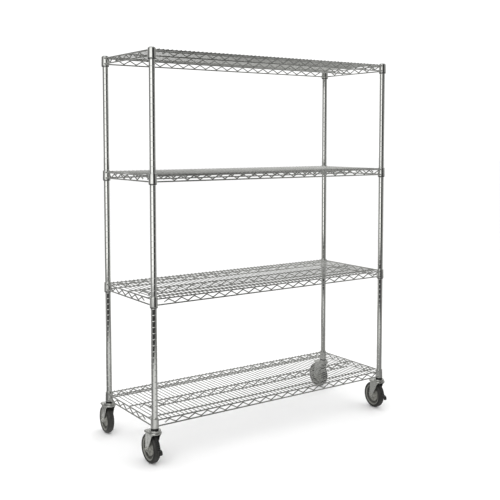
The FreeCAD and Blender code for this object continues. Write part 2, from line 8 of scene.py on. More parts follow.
import bmesh
import bpy
import json
import numpy as np
from math import acos, atan2, copysign, cos, degrees, hypot, pi, radians, sin, sqrt, tan
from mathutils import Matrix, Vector


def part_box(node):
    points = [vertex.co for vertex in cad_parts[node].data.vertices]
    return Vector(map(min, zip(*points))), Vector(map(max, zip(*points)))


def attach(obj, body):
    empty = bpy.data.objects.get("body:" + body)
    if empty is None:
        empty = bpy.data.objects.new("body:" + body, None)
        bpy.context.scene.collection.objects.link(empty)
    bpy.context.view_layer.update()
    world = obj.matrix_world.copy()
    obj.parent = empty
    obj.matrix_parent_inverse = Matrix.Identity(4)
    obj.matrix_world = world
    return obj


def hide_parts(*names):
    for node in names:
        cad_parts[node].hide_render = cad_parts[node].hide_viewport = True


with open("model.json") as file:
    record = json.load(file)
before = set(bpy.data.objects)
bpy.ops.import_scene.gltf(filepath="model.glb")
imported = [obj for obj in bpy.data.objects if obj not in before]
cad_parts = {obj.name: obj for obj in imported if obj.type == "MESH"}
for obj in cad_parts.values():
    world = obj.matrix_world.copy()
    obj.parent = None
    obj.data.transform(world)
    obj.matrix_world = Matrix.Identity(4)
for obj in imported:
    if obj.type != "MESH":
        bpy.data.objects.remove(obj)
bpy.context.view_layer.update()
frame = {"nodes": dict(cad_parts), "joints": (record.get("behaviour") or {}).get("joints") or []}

MM = 0.001
CORNERS = ("front_left", "front_right", "back_left", "back_right")
BRAKED = ("front_left", "front_right")
SHELF_BODY = {"bottom": "root", "lower": "lower_shelf", "upper": "upper_shelf", "top": "root"}

# ---- places, from the frame


def middle(node):
    low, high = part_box(node)
    return (low + high) / 2


POST_AT = {corner: middle("post_" + corner) * Vector((1, 1, 0)) for corner in CORNERS}
SHELF_Z = {shelf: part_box(shelf + "_shelf_collars")[0].z for shelf in SHELF_BODY}
SPAN_X = (POST_AT["front_right"].x - POST_AT["front_left"].x) / MM
SPAN_Y = (POST_AT["back_left"].y - POST_AT["front_left"].y) / MM
HALF_X, HALF_Y = SPAN_X / 2, SPAN_Y / 2
POST_POINTS = [(sx * HALF_X, sy * HALF_Y) for sx in (-1, 1) for sy in (-1, 1)]
POST_LOW, POST_TOP = (corner.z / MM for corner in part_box("post_front_left"))
CAP_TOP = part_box("post_caps")[1].z / MM

WHEEL_SPIN = "_wheel_spin"
SWING = {}  # how far each caster is swung, from its wheel's axis
for joint in frame["joints"]:
    if joint["name"].endswith(WHEEL_SPIN):
        SWING[joint["name"].removesuffix(WHEEL_SPIN)] = atan2(joint["axis"][1], joint["axis"][0])
WHEEL_AT = middle("front_left_caster_tyre")
WHEEL_R = WHEEL_AT.z / MM
TRAIL = (WHEEL_AT.y - POST_AT["front_left"].y) / MM

# ---- sizes that the CAD parts have, mm

POST_R, POST_WALL, GROOVE_PITCH = 12.7, 1.2, 25.4
PLUG_R = POST_R - 1.3  # what goes inside a post
COLLAR_H, COLLAR_LOW_R, COLLAR_TOP_R = 41.0, 17.4, 16.4
SLEEVE_LOW_R, SLEEVE_TOP_R, SLEEVE_H, SLEEVE_SPLIT = 15.4, 14.2, 39.0, 1.0
LIP_R, LIP_H, LIP_GAP = 16.4, 3.7, 0.3
RIDGE = 19.0  # height of the sleeve's ridge, which sits in a groove
ROD_R, SNAKE_R, DECK_R, BITE = 3.0, 2.5, 1.8, 0.5
LOW_ROD_Z, TOP_ROD_Z = 8.0, 33.0
TRUSS_OUT, STRINGER_IN = 9.0, 42.0
SNAKE_PITCH, SNAKE_BEND_R, SNAKE_FREE_Z = 62.3, 8.0, 17.5
LONG_FIRST_TOP, LONG_BOTTOMS = 64.6, 19
END_FIRST_TOP, END_BOTTOMS = 88.2, 5
CENTRE_ROD_START, CENTRE_ROD_END = 90.0, 18.0
DECK_WIRES, DECK_FIRST, DECK_PAST, DECK_GAP = 61, 9.5, 1.5, 0.6
ROD_END_R = 16.2
ROD_STOP = sqrt(ROD_END_R ** 2 - TRUSS_OUT ** 2)
END_FACE = HALF_X + TRUSS_OUT - ROD_R + BITE

# ---- mesh building

WIRE_END = ((0.0, 0.6), (0.14, 0.88), (0.5, 1.0))  # how a wire's end is rounded, in radii: depth, radius


def circle(count):
    """Angles in equal steps round a circle."""
    return [2 * pi * i / count for i in range(count)]


def quarter(steps):
    """Angles in equal steps of a quarter turn, without the first."""
    return [pi / 2 * i / steps for i in range(1, steps + 1)]


def unit(vector):
    return vector / np.linalg.norm(vector)


class Shape:
    """Vertices and faces of one piece, in millimetres."""

    def __init__(self):
        self.verts = []
        self.faces = []

    def add(self, verts, faces):
        base = len(self.verts)
        self.verts.extend(verts)
        self.faces.extend([tuple(base + i for i in face) for face in faces])

    def swung(self, turn):
        """The same shape, turned about the upright axis."""
        cosine, sine = cos(turn), sin(turn)
        other = Shape()
        other.add([(x * cosine - y * sine, x * sine + y * cosine, z) for x, y, z in self.verts], self.faces)
        return other


def loft(shape, rings, closed=False, capped=True):
    """Skins rings with equal numbers of points. A closed loft joins its last ring to its first."""
    count = len(rings[0])
    verts = [tuple(p) for ring in rings for p in ring]
    faces = []
    last = len(rings) if closed else len(rings) - 1
    for i in range(last):
        low = i * count
        high = ((i + 1) % len(rings)) * count
        for j in range(count):
            k = (j + 1) % count
            faces.append((low + j, low + k, high + k, high + j))
    if capped and not closed:
        faces.append(tuple(range(count - 1, -1, -1)))
        faces.append(tuple(range(last * count, last * count + count)))
    shape.add(verts, faces)


def turned(shape, profile, axis="Z", at=(0, 0, 0), segments=48, start=0.0, end=360.0):
    """A closed profile of (radius, height) pairs turned round an axis: Z upright, or X across the wheel."""
    whole = abs(end - start - 360.0) < 1e-6
    rings = []
    count = segments if whole else segments + 1
    for i in range(count):
        angle = radians(start + (end - start) * i / segments)
        cosine, sine = cos(angle), sin(angle)
        if axis == "Z":
            ring = [(radius * cosine, radius * sine, along) for radius, along in profile]
        else:
            ring = [(along, radius * cosine, radius * sine) for radius, along in profile]
        rings.append([(x + at[0], y + at[1], z + at[2]) for x, y, z in ring])
    loft(shape, rings, closed=whole, capped=not whole)


def at_posts(profile, segments=48):
    """A shape of one profile turned round the axis of every post."""
    shape = Shape()
    for x, y in POST_POINTS:
        turned(shape, profile, at=(x, y, 0), segments=segments)
    return shape


def tube(shape, path, radius, side, sides=12, open_end=False):
    """A round wire along a flat path. side points across its plane, and an open end isn't rounded."""
    points = [np.array(p, float) for p in path]
    side = np.array(side, float)
    rings = []

    def ring(centre, ahead, r):
        up = np.cross(ahead, side)
        return [centre + r * (cos(a) * side + sin(a) * up) for a in circle(sides)]

    count = len(points)
    for i, point in enumerate(points):
        ahead = unit(points[min(i + 1, count - 1)] - points[max(i - 1, 0)])
        if i == 0:
            rings += [ring(point + ahead * depth * radius, ahead, size * radius) for depth, size in WIRE_END]
        elif i == count - 1 and not open_end:
            rings += [ring(point - ahead * depth * radius, ahead, size * radius)
                      for depth, size in reversed(WIRE_END)]
        else:
            rings.append(ring(point, ahead, radius))
    loft(shape, rings)


def bead(shape, centre, sizes, around=10, rows=6):
    """A closed round lump with these half sizes: a weld bead, or a ball."""
    cx, cy, cz = centre
    rx, ry, rz = sizes
    rings = []
    for i in range(1, rows):
        polar = pi * i / rows
        rings.append([(cx + rx * sin(polar) * cos(a), cy + ry * sin(polar) * sin(a),
                       cz - rz * cos(polar)) for a in circle(around)])
    loft(shape, rings)


def as_mesh(name, shape, sharp=35.0):
    """A smooth-shaded mesh in metres, whose edges are sharp past this many degrees."""
    mesh = bpy.data.meshes.new(name)
    mesh.from_pydata([(x * MM, y * MM, z * MM) for x, y, z in shape.verts], [], shape.faces)
    mesh.validate()
    facing = bmesh.new()
    facing.from_mesh(mesh)
    bmesh.ops.recalc_face_normals(facing, faces=facing.faces)
    facing.to_mesh(mesh)
    facing.free()
    mesh.shade_smooth()
    mesh.set_sharp_from_angle(angle=radians(sharp))
    return mesh


def new_object(name, data):
    obj = bpy.data.objects.new(name, data)
    bpy.context.scene.collection.objects.link(obj)
    return obj


FROM_AXLE = "from_axle"


def caster_mesh(name, shape, turn, sharp):
    """A caster part's mesh, swung about the swivel, that keeps each point's distance from the axle."""
    mesh = as_mesh(name, shape.swung(turn), sharp)
    radii = [hypot(y - TRAIL, z - WHEEL_R) * MM for _, y, z in shape.verts]
    mesh.attributes.new(FROM_AXLE, "FLOAT", "POINT").data.foreach_set("value", radii)
    return mesh


def piece(name, mesh, material, body, slot, nodes, at=(0, 0, 0)):
    """An object of the rack: its mesh, finish, body, the CAD nodes that it stands for, and its place."""
    obj = new_object(name, mesh)
    if not mesh.materials:
        mesh.materials.append(material)
    obj.location = at
    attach(obj, body)
    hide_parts(*nodes)


# ---- materials

BLACK, WHITE = (0, 0, 0), (1, 1, 1)


class Nodes:
    """A small helper for procedural materials."""

    def __init__(self, name):
        self.material = bpy.data.materials.new(name)
        self.material.use_nodes = True
        self.tree = self.material.node_tree
        self.tree.nodes.clear()
        self.out = self.new("OutputMaterial")
        self.shader = self.new("BsdfPrincipled")
        self.link(self.shader.outputs[0], self.out.inputs[0])
        self.place = self.new("TexCoord").outputs["Object"]

    def new(self, kind):
        return self.tree.nodes.new("ShaderNode" + kind)

    def link(self, a, b):
        self.tree.links.new(a, b)

    def feed(self, socket, x):
        """Gives a socket a number, a colour or another node's output."""
        if isinstance(x, (int, float)):
            socket.default_value = x
        elif isinstance(x, tuple):
            socket.default_value = (*x, 1)
        else:
            self.link(x, socket)

    def set(self, **sockets):
        for name, value in sockets.items():
            self.shader.inputs[name.replace("_", " ")].default_value = value

    def scaled(self, x, y, z):
        """The object's own coordinates, stretched."""
        node = self.new("Mapping")
        node.inputs["Scale"].default_value = (x, y, z)
        self.link(self.place, node.inputs["Vector"])
        return node.outputs[0]

    def noise(self, scale, detail=3.0, rough=0.55, vector=None):
        node = self.new("TexNoise")
        node.inputs["Scale"].default_value = scale
        node.inputs["Detail"].default_value = detail
        node.inputs["Roughness"].default_value = rough
        self.link(vector or self.place, node.inputs["Vector"])
        return node.outputs["Fac"]

    def ramp(self, value, stops):
        node = self.new("ValToRGB")
        ramp = node.color_ramp
        while len(ramp.elements) < len(stops):
            ramp.elements.new(0.5)
        for element, (at, colour) in zip(ramp.elements, stops):
            element.position = at
            element.color = (*colour, 1)
        self.link(value, node.inputs[0])
        return node.outputs[0]

    def shade(self, value, dark, light, low=0.3, high=0.7):
        """From dark to light as the value goes from low to high."""
        return self.ramp(value, [(low, dark), (high, light)])

    def span(self, value, low, high, to_low=0.0, to_high=1.0):
        node = self.new("MapRange")
        for i, number in enumerate((low, high, to_low, to_high), 1):
            node.inputs[i].default_value = number
        self.link(value, node.inputs[0])
        return node.outputs[0]

    def math(self, kind, *values):
        node = self.new("Math")
        node.operation = kind
        for socket, x in zip(node.inputs, values):
            self.feed(socket, x)
        return node.outputs[0]

    def times(self, a, b):
        return self.math("MULTIPLY", a, b)

    def plus(self, a, b):
        return self.math("ADD", a, b)

    def blend(self, factor, a, b, kind="MIX"):
        node = self.new("Mix")
        node.data_type = "RGBA"
        node.blend_type = kind
        sockets = [s for s in node.inputs if s.enabled]
        for socket, x in zip(sockets, (factor, a, b)):
            self.feed(socket, x)
        return [s for s in node.outputs if s.enabled][0]

    def bump(self, height, depth, strength):
        node = self.new("Bump")
        node.inputs["Strength"].default_value = strength
        node.inputs["Distance"].default_value = depth
        self.link(height, node.inputs["Height"])
        self.link(node.outputs[0], self.shader.inputs["Normal"])

    def colour(self, socket):
        self.link(socket, self.shader.inputs["Base Color"])

    def roughness(self, socket):
        self.link(socket, self.shader.inputs["Roughness"])


def chrome(name, dull, bright, smooth, worn, cloud):
    """Plated steel: clear chrome with handling haze, a faint orange peel and a few dull specks."""
    m = Nodes(name)
    m.set(Metallic=1.0)
    haze = m.noise(cloud, 4.0, 0.6)
    specks = m.shade(m.noise(900.0, 2.0), BLACK, WHITE, 0.66, 0.74)
    m.colour(m.blend(m.times(specks, 0.35), m.shade(haze, dull, bright), tuple(0.55 * c for c in dull)))
    m.roughness(m.plus(m.span(haze, 0.35, 0.7, worn, smooth), m.times(specks, 0.12)))
    m.bump(m.noise(420.0, 2.0), 0.00004, 0.35)
    return m.material


def zinc(name, dull, bright, smooth, worn):
    """Bright zinc on pressed sheet: soft mottling, drawn streaks and small scuffs."""
    m = Nodes(name)
    m.set(Metallic=1.0)
    mottle = m.noise(55.0, 5.0, 0.65)
    streak = m.noise(1.0, 3.0, 0.6, m.scaled(900, 900, 60))
    scuff = m.shade(m.noise(160.0, 6.0, 0.7), BLACK, WHITE, 0.6, 0.72)
    m.colour(m.blend(m.times(scuff, 0.5), m.shade(mottle, dull, bright), tuple(0.6 * c for c in dull)))
    m.roughness(m.plus(m.span(mottle, 0.3, 0.7, worn, smooth), m.times(streak, 0.1)))
    m.bump(m.plus(mottle, m.times(streak, 0.4)), 0.00008, 0.4)
    return m.material


def moulded(name, dark, light, smooth, worn, grain=650.0, depth=0.00006, specular=0.5):
    """Moulded plastic or rubber: fine grain, uneven gloss and dust in patches."""
    m = Nodes(name)
    m.set(Specular_IOR_Level=specular)
    patch = m.noise(35.0, 4.0, 0.6)
    m.colour(m.shade(patch, dark, light, 0.3, 0.72))
    m.roughness(m.span(patch, 0.3, 0.7, smooth, worn))
    m.bump(m.noise(grain, 2.0), depth, 0.6)
    return m.material


def wheel_radius(m):
    """Distance from the wheel's axis in metres, which caster_mesh() stores on the mesh."""
    node = m.new("Attribute")
    node.attribute_name = FROM_AXLE
    return node.outputs["Fac"]


TREAD_FROM, TREAD_FULL = 0.0585, 0.0632  # radii between which the side turns into scuffed tread, m
TYRE_RINGS = 5200.0  # radians to a metre: a turned ring every 1.2 mm


def tyre_rubber():
    """Dark grey rubber: greyer and rougher where the tread is scuffed, with fine turned rings on the side."""
    m = Nodes("rubber_tyre")
    m.set(Specular_IOR_Level=0.4)
    radius = wheel_radius(m)
    patch = m.noise(60.0, 5.0, 0.65)
    scuffed = m.span(radius, TREAD_FROM, TREAD_FULL)
    side = m.shade(patch, (0.013, 0.013, 0.012), (0.024, 0.024, 0.022))
    tread = m.shade(patch, (0.020, 0.020, 0.018), (0.052, 0.051, 0.047))
    m.colour(m.blend(scuffed, side, tread))
    m.roughness(m.plus(m.span(patch, 0.3, 0.7, 0.34, 0.5), m.times(scuffed, 0.1)))
    rings = m.math("SINE", m.times(radius, TYRE_RINGS))
    m.bump(m.plus(m.noise(500.0, 2.0), m.times(rings, 0.12)), 0.00012, 0.5)
    return m.material


RECESS_FROM, RECESS_FULL, RIM_FROM, RIM_FULL = 0.0315, 0.034, 0.0445, 0.0462  # radii, m


def hub_plastic():
    """Grey moulded hub, with painted shade coloured near black in the ribbed recess between the raised ring
    and the rim.
    """
    m = Nodes("grey_hub")
    m.set(Specular_IOR_Level=0.45)
    radius = wheel_radius(m)
    patch = m.noise(70.0, 5.0, 0.65)
    plain_grey = m.shade(patch, (0.17, 0.17, 0.153), (0.30, 0.30, 0.272))
    # painted shade: the ribbed recess between the raised ring and the rim is coloured near black
    recess_shade = m.shade(patch, (0.020, 0.020, 0.018), (0.085, 0.085, 0.075), 0.35, 0.65)
    past_ring = m.span(radius, RECESS_FROM, RECESS_FULL)
    before_rim = m.span(radius, RIM_FROM, RIM_FULL, 1.0, 0.0)
    m.colour(m.blend(m.times(m.times(past_ring, before_rim), 0.95), plain_grey, recess_shade))
    m.roughness(m.span(patch, 0.3, 0.7, 0.35, 0.55))
    m.bump(m.noise(600.0, 2.0), 0.00006, 0.5)
    return m.material


def brake_paint():
    """Black paint, rubbed through to grey in scratches where feet have pressed."""
    m = Nodes("black_paint")
    m.set(Specular_IOR_Level=0.5)
    patch = m.noise(80.0, 4.0, 0.6)
    scratch = m.shade(m.noise(1.0, 5.0, 0.7, m.scaled(700, 120, 120)), BLACK, WHITE, 0.64, 0.7)
    coat = m.shade(patch, (0.01, 0.01, 0.01), (0.024, 0.024, 0.023))
    m.colour(m.blend(m.times(scratch, 0.5), coat, (0.16, 0.16, 0.15)))
    m.roughness(m.span(patch, 0.3, 0.7, 0.18, 0.36))
    m.bump(m.math("SUBTRACT", m.noise(450.0, 3.0), scratch), 0.00006, 0.5)
    return m.material


CHROME_POST = chrome("chrome_on_posts", (0.74, 0.745, 0.725), (0.86, 0.865, 0.845), 0.03, 0.08, 14.0)
CHROME_WIRE = chrome("chrome_on_wires", (0.55, 0.555, 0.535), (0.73, 0.735, 0.715), 0.09, 0.20, 20.0)
CHROME_COLLAR = chrome("chrome_on_collars", (0.64, 0.645, 0.625), (0.82, 0.825, 0.805), 0.06, 0.16, 45.0)
BALL_STEEL = chrome("steel_balls", (0.62, 0.62, 0.61), (0.78, 0.78, 0.77), 0.08, 0.16, 90.0)
ZINC = zinc("bright_zinc", (0.56, 0.565, 0.54), (0.78, 0.785, 0.76), 0.13, 0.27)
BOLT = zinc("bolt_zinc", (0.60, 0.60, 0.57), (0.82, 0.82, 0.79), 0.12, 0.24)
CAP = moulded("cap_plastic", (0.26, 0.265, 0.26), (0.36, 0.365, 0.36), 0.22, 0.38)
SLEEVE = moulded("sleeve_plastic", (0.01, 0.01, 0.01), (0.022, 0.022, 0.021), 0.30, 0.52)
BUMPER = moulded("bumper_rubber", (0.01, 0.01, 0.01), (0.024, 0.024, 0.023), 0.50, 0.75, 480.0, 0.0001, 0.3)
TYRE = tyre_rubber()
HUB = hub_plastic()
BRAKE = brake_paint()

# ---- shelf wires

# half sizes of the weld beads
SNAKE_WELD, SNAKE_WELD_ACROSS = (4.6, 2.3, 1.3), (2.3, 4.6, 1.3)
DECK_WELD, END_WELD = (2.5, 2.7, 1.15), (1.8, 3.7, 3.5)
COLLAR_WELD_THIN, COLLAR_WELD_WIDE = 2.4, 4.1


def arc_corner(before, corner, after, radius):
    """Points of the tangent arc at a corner of a flat path."""
    steps = 7
    before, corner, after = (np.array(p, float) for p in (before, corner, after))
    back = unit(before - corner)
    on = unit(after - corner)
    half = (pi - acos(float(np.clip(back @ on, -1, 1)))) / 2
    start = corner + back * radius * tan(half)
    centre = corner + unit(back + on) * radius / cos(half)
    spoke = start - centre
    angles = [2 * half * i / steps for i in range(steps + 1)]
    return [centre + spoke * cos(angle) - back * radius * sin(angle) for angle in angles]


def snake_corners(length, first_top, bottoms):
    """Corners of the bent wire, as (along, height), and where it touches the upper and lower rods."""
    run = SNAKE_PITCH / 2
    slope = atan2(TOP_ROD_Z - LOW_ROD_Z - 2 * (ROD_R + SNAKE_R - BITE), run)
    past = SNAKE_BEND_R * (1 / cos(slope) - 1)
    high = TOP_ROD_Z - ROD_R - SNAKE_R + BITE + past
    low = LOW_ROD_Z + ROD_R + SNAKE_R - BITE - past
    corners = [(first_top - run * (high - SNAKE_FREE_Z) / (high - low), SNAKE_FREE_Z), (first_top, high)]
    tops, lows = [first_top], []
    for i in range(bottoms):
        at = first_top + run + i * SNAKE_PITCH
        corners.append((at, low))
        lows.append(at)
        top = min(at + run, length - ROD_END_R)
        corners.append((top, high))
        if i < bottoms - 1:
            tops.append(top)
    return corners, tops, lows


def snake(shape, length, first_top, bottoms, place, side):
    """The bent wire of a truss with a weld bead at each touch. place turns (along, height) into a point."""
    corners, tops, lows = snake_corners(length, first_top, bottoms)
    points = [place(*corners[0])]
    for before, corner, after in zip(corners, corners[1:], corners[2:]):
        points.extend(arc_corner(place(*before), place(*corner), place(*after), SNAKE_BEND_R))
    points.append(place(*corners[-1]))
    tube(shape, points, SNAKE_R, side, open_end=True)
    sizes = SNAKE_WELD if side[1] else SNAKE_WELD_ACROSS
    for at in tops:
        bead(shape, place(at, TOP_ROD_Z - ROD_R + BITE / 2), sizes)
    for at in lows:
        bead(shape, place(at, LOW_ROD_Z + ROD_R - BITE / 2), sizes)


def collar_weld(shape, x, y, rod_axis, z):
    """Weld fillet where a rim rod along this axis meets the collar of the post at x, y."""
    outer = COLLAR_LOW_R + (COLLAR_TOP_R - COLLAR_LOW_R) * z / COLLAR_H
    along = sqrt(outer ** 2 - TRUSS_OUT ** 2)
    if rod_axis == "X":
        centre = (x + copysign(along, -x), y + copysign(TRUSS_OUT, y), z)
        sizes = (COLLAR_WELD_THIN, COLLAR_WELD_WIDE, COLLAR_WELD_WIDE)
    else:
        centre = (x + copysign(TRUSS_OUT, x), y + copysign(along, -y), z)
        sizes = (COLLAR_WELD_WIDE, COLLAR_WELD_THIN, COLLAR_WELD_WIDE)
    bead(shape, centre, sizes, 12, 8)


def rod_x(shape, start, end, y, z):
    tube(shape, [(start, y, z), (end, y, z)], ROD_R, (0, 1, 0), 16)


def rod_y(shape, start, end, x, z, radius=ROD_R, sides=16):
    tube(shape, [(x, start, z), (x, end, z)], radius, (1, 0, 0), sides)


def end_welds(shape, y):
    """Welds at both ends of an upper rod that runs from one end truss to the other."""
    for end in (-1, 1):
        bead(shape, (end * (END_FACE - 0.2), y, TOP_ROD_Z), END_WELD, 12, 8)


def deck_shape():
    """The cross wires, the two upper rim rods and their welds. The first wire stops between the collars."""
    shape = Shape()
    rim_y = HALF_Y + TRUSS_OUT
    for side in (-1, 1):
        rod_x(shape, -HALF_X + ROD_STOP, HALF_X - ROD_STOP, side * rim_y, TOP_ROD_Z)
    z = TOP_ROD_Z + ROD_R + DECK_R - BITE
    touch_z = TOP_ROD_Z + ROD_R - BITE / 2
    inset = HALF_Y - STRINGER_IN
    for i in range(DECK_WIRES):
        x = -HALF_X + DECK_FIRST + i * SNAKE_PITCH / 3
        reach = rim_y + DECK_PAST
        crossings = [-rim_y, -inset, 0.0, inset, rim_y]
        if i == 0:
            reach = HALF_Y - sqrt((COLLAR_TOP_R + DECK_GAP) ** 2 - DECK_FIRST ** 2)
            crossings = [-inset, 0.0, inset]
        rod_y(shape, -reach, reach, x, z, DECK_R, 12)
        for y in crossings:
            bead(shape, (x, y, touch_z), DECK_WELD)
    for x, y in POST_POINTS:
        collar_weld(shape, x, y, "X", TOP_ROD_Z)
    return shape


def long_truss_shape(side):
    """The lower rod and the snake of the front (-1) or back (1) truss."""
    shape = Shape()
    y = side * (HALF_Y + TRUSS_OUT)
    rod_x(shape, -HALF_X + ROD_STOP, HALF_X - ROD_STOP, y, LOW_ROD_Z)
    length = SPAN_X + ROD_END_R - ROD_STOP
    snake(shape, length, LONG_FIRST_TOP, LONG_BOTTOMS, lambda along, z: (along - HALF_X, y, z), (0, 1, 0))
    for x, post_y in POST_POINTS:
        if post_y * side > 0:
            collar_weld(shape, x, post_y, "X", LOW_ROD_Z)
    return shape


def centre_truss_shape():
    """The middle truss, whose lower rod stops short of both ends."""
    shape = Shape()
    rod_x(shape, -END_FACE, END_FACE, 0, TOP_ROD_Z)
    rod_x(shape, -HALF_X + CENTRE_ROD_START, HALF_X - CENTRE_ROD_END, 0, LOW_ROD_Z)
    snake(shape, SPAN_X, LONG_FIRST_TOP, LONG_BOTTOMS, lambda along, z: (along - HALF_X, 0, z), (0, 1, 0))
    end_welds(shape, 0)
    return shape


def stringers_shape():
    shape = Shape()
    for side in (-1, 1):
        y = side * (HALF_Y - STRINGER_IN)
        rod_x(shape, -END_FACE, END_FACE, y, TOP_ROD_Z)
        end_welds(shape, y)
    return shape


def end_trusses_shape():
    shape = Shape()
    for side in (-1, 1):
        x = side * (HALF_X + TRUSS_OUT)
        for z in (LOW_ROD_Z, TOP_ROD_Z):
            rod_y(shape, -HALF_Y + ROD_STOP, HALF_Y - ROD_STOP, x, z)
        length = SPAN_Y + ROD_END_R - ROD_STOP
        snake(shape, length, END_FIRST_TOP, END_BOTTOMS, lambda along, z: (x, along - HALF_Y, z), (1, 0, 0))
        for post_x, post_y in POST_POINTS:
            if post_x * side > 0:
                for z in (LOW_ROD_Z, TOP_ROD_Z):
                    collar_weld(shape, post_x, post_y, "Y", z)
    return shape


def collars_shape():
    """Tapered collars with rolled edges."""
    bore_low, bore_top = SLEEVE_LOW_R + 0.05, SLEEVE_TOP_R - 0.01
    profile = [(bore_low, 0.5), (bore_low + 0.3, 0.1), (bore_low + 0.7, 0), (COLLAR_LOW_R - 0.7, 0),
               (COLLAR_LOW_R - 0.2, 0.2), (COLLAR_LOW_R, 0.8), (COLLAR_LOW_R - 0.05, 2.5),
               (COLLAR_TOP_R + 0.05, COLLAR_H - 2.5), (COLLAR_TOP_R, COLLAR_H - 0.9),
               (COLLAR_TOP_R - 0.25, COLLAR_H - 0.25), (COLLAR_TOP_R - 0.8, COLLAR_H),
               (bore_top + 0.6, COLLAR_H), (bore_top, COLLAR_H - 0.6)]
    return at_posts(profile, 56)


SHELF_SHAPES = {
    "deck": deck_shape(),
    "stringers": stringers_shape(),
    "front_truss": long_truss_shape(-1),
    "back_truss": long_truss_shape(1),
    "centre_truss": centre_truss_shape(),
    "end_trusses": end_trusses_shape(),
}
SHELF_MESHES = {part: as_mesh("shelf_" + part, shape) for part, shape in SHELF_SHAPES.items()}
COLLARS = as_mesh("shelf_collars", collars_shape(), 50)

for shelf, body in SHELF_BODY.items():
    at = (0, 0, SHELF_Z[shelf])
    for part, mesh in SHELF_MESHES.items():
        piece(f"{shelf}_{part}_wires", mesh, CHROME_WIRE, body, "chrome_wire", [f"{shelf}_shelf_{part}"], at)
    piece(f"{shelf}_corner_collars", COLLARS, CHROME_COLLAR, body, "chrome_collar",
          [f"{shelf}_shelf_collars"], at)

# ---- posts, caps and sleeves


def post_shape():
    """A tube with a rounded groove every 25.4 mm."""
    shape = Shape()
    inner = POST_R - POST_WALL
    groove = [(-2.0, 0), (-1.3, 0), (-0.9, 0.05), (-0.55, 0.24), (-0.25, 0.45), (0, 0.5),
              (0.25, 0.45), (0.55, 0.24), (0.9, 0.05), (1.3, 0), (2.0, 0)]  # height, depth
    low, top = POST_LOW, POST_TOP
    profile = [(inner, low + 0.3), (inner + 0.3, low), (POST_R - 0.4, low), (POST_R, low + 0.5)]
    z = SHELF_Z["bottom"] / MM + RIDGE
    while z < top - 3:
        profile += [(POST_R - depth, z + height) for height, depth in groove]
        z += GROOVE_PITCH
    profile += [(POST_R, top - 0.5), (POST_R - 0.4, top), (inner + 0.3, top), (inner, top - 0.3)]
    turned(shape, profile, segments=56)
    return shape


def caps_shape():
    """Push-in caps with a rounded rim and a slightly domed top."""
    round_r = 2.4
    low, shoulder = POST_TOP, POST_TOP + round_r
    rise = CAP_TOP - 0.35 - shoulder
    profile = [(0.02, low - 14), (PLUG_R - 1, low - 14), (PLUG_R, low - 13), (PLUG_R, low),
               (POST_R - 0.3, low), (POST_R, low + 0.3), (POST_R, shoulder)]
    profile += [(POST_R - round_r * (1 - cos(a)), shoulder + rise * sin(a)) for a in quarter(6)]
    profile += [(7.0, CAP_TOP - 0.1), (3.0, CAP_TOP), (0.02, CAP_TOP)]
    return at_posts(profile)


def sleeves_shape():
    """Two tapered half shells on every post under every shelf, each with a rounded lip below."""
    shape = Shape()
    inner = POST_R + 0.05
    low = -LIP_GAP - LIP_H
    gap = degrees(SLEEVE_SPLIT / POST_R) / 2
    profile = [(inner, low + 0.2), (inner + 0.2, low), (LIP_R - 0.9, low), (LIP_R - 0.25, low + 0.25),
               (LIP_R, low + 0.9), (LIP_R, -LIP_GAP - 0.6), (LIP_R - 0.2, -LIP_GAP - 0.15),
               (LIP_R - 0.6, -LIP_GAP), (SLEEVE_LOW_R, -LIP_GAP), (SLEEVE_LOW_R, 0),
               (SLEEVE_TOP_R, SLEEVE_H - 0.5), (SLEEVE_TOP_R - 0.4, SLEEVE_H), (inner, SLEEVE_H),
               (inner, RIDGE + 1), (inner - 0.6, RIDGE), (inner, RIDGE - 1)]
    for shelf_z in SHELF_Z.values():
        for x, y in POST_POINTS:
            for turn in (0, 180):
                start, end = turn + gap, turn + 180 - gap
                turned(shape, profile, at=(x, y, shelf_z / MM), segments=28, start=start, end=end)
    return shape


POST_MESH = as_mesh("grooved_post", post_shape(), 60)
for corner in CORNERS:
    piece("grooved_post_" + corner, POST_MESH, CHROME_POST, "root", "chrome_post", ["post_" + corner],
          POST_AT[corner])
piece("cap_tops", as_mesh("cap_tops", caps_shape()), CAP, "root", "cap", ["post_caps"])
piece("split_sleeves", as_mesh("split_sleeves", sleeves_shape()), SLEEVE, "root", "sleeve_plastic",
      ["sleeves"])

# ---- casters, sizes in mm

CROWN_TOP, CROWN_LOW, CROWN_R, CROWN_BACK, CROWN_CORNER = 143.5, 136.0, 29.0, 50.0, 12.0
SHEET, LEG_IN, LEG_BOSS = 2.5, 18.8, 12.0
FLANGE_R, FLANGE_BEND = 27.9, 4.0
RIB_LOW, RIB_HIGH, RIB_LIFT = 84.0, 129.0, 1.4
RIB_AT, RIB_HALF = 0.58, 0.2  # shares of the leg's width, from its front
LIP_LOW, LIP_LIFT, LIP_SHARE = 72.0, 1.1, 0.16
PAD_R, PAD_LIFT = 11.0, 0.7
RIM_R, RIM_HALF, TYRE_HALF, SHOULDER = 50.5, 13.0, 16.0, 11.0
STEM_NECK_R, RACE_BALLS, HUB_RIBS = 8.0, 12, 8
AXLE = (0, TRAIL, WHEEL_R)
BRAKE_PIN = (0, 2.0, 127.5)


def crown_ring(inset, z):
    """The crown's outline, round in front and squared off behind, from the middle of the front round."""
    side = CROWN_R - inset
    back = CROWN_BACK - inset
    corner = CROWN_CORNER - inset
    half = [(0.0, -side)] + [(side * sin(a), -side * cos(a)) for a in quarter(12)]
    half += [(side, (back - corner) * i / 5) for i in range(1, 6)]
    half += [(side - corner * (1 - cos(a)), back - corner * (1 - sin(a))) for a in quarter(8)]
    half += [((side - corner) * (1 - i / 3), back) for i in range(1, 3)]
    ring = half + [(0.0, back)] + [(-x, y) for x, y in reversed(half[1:])]
    return [(x, y, z) for x, y in ring]


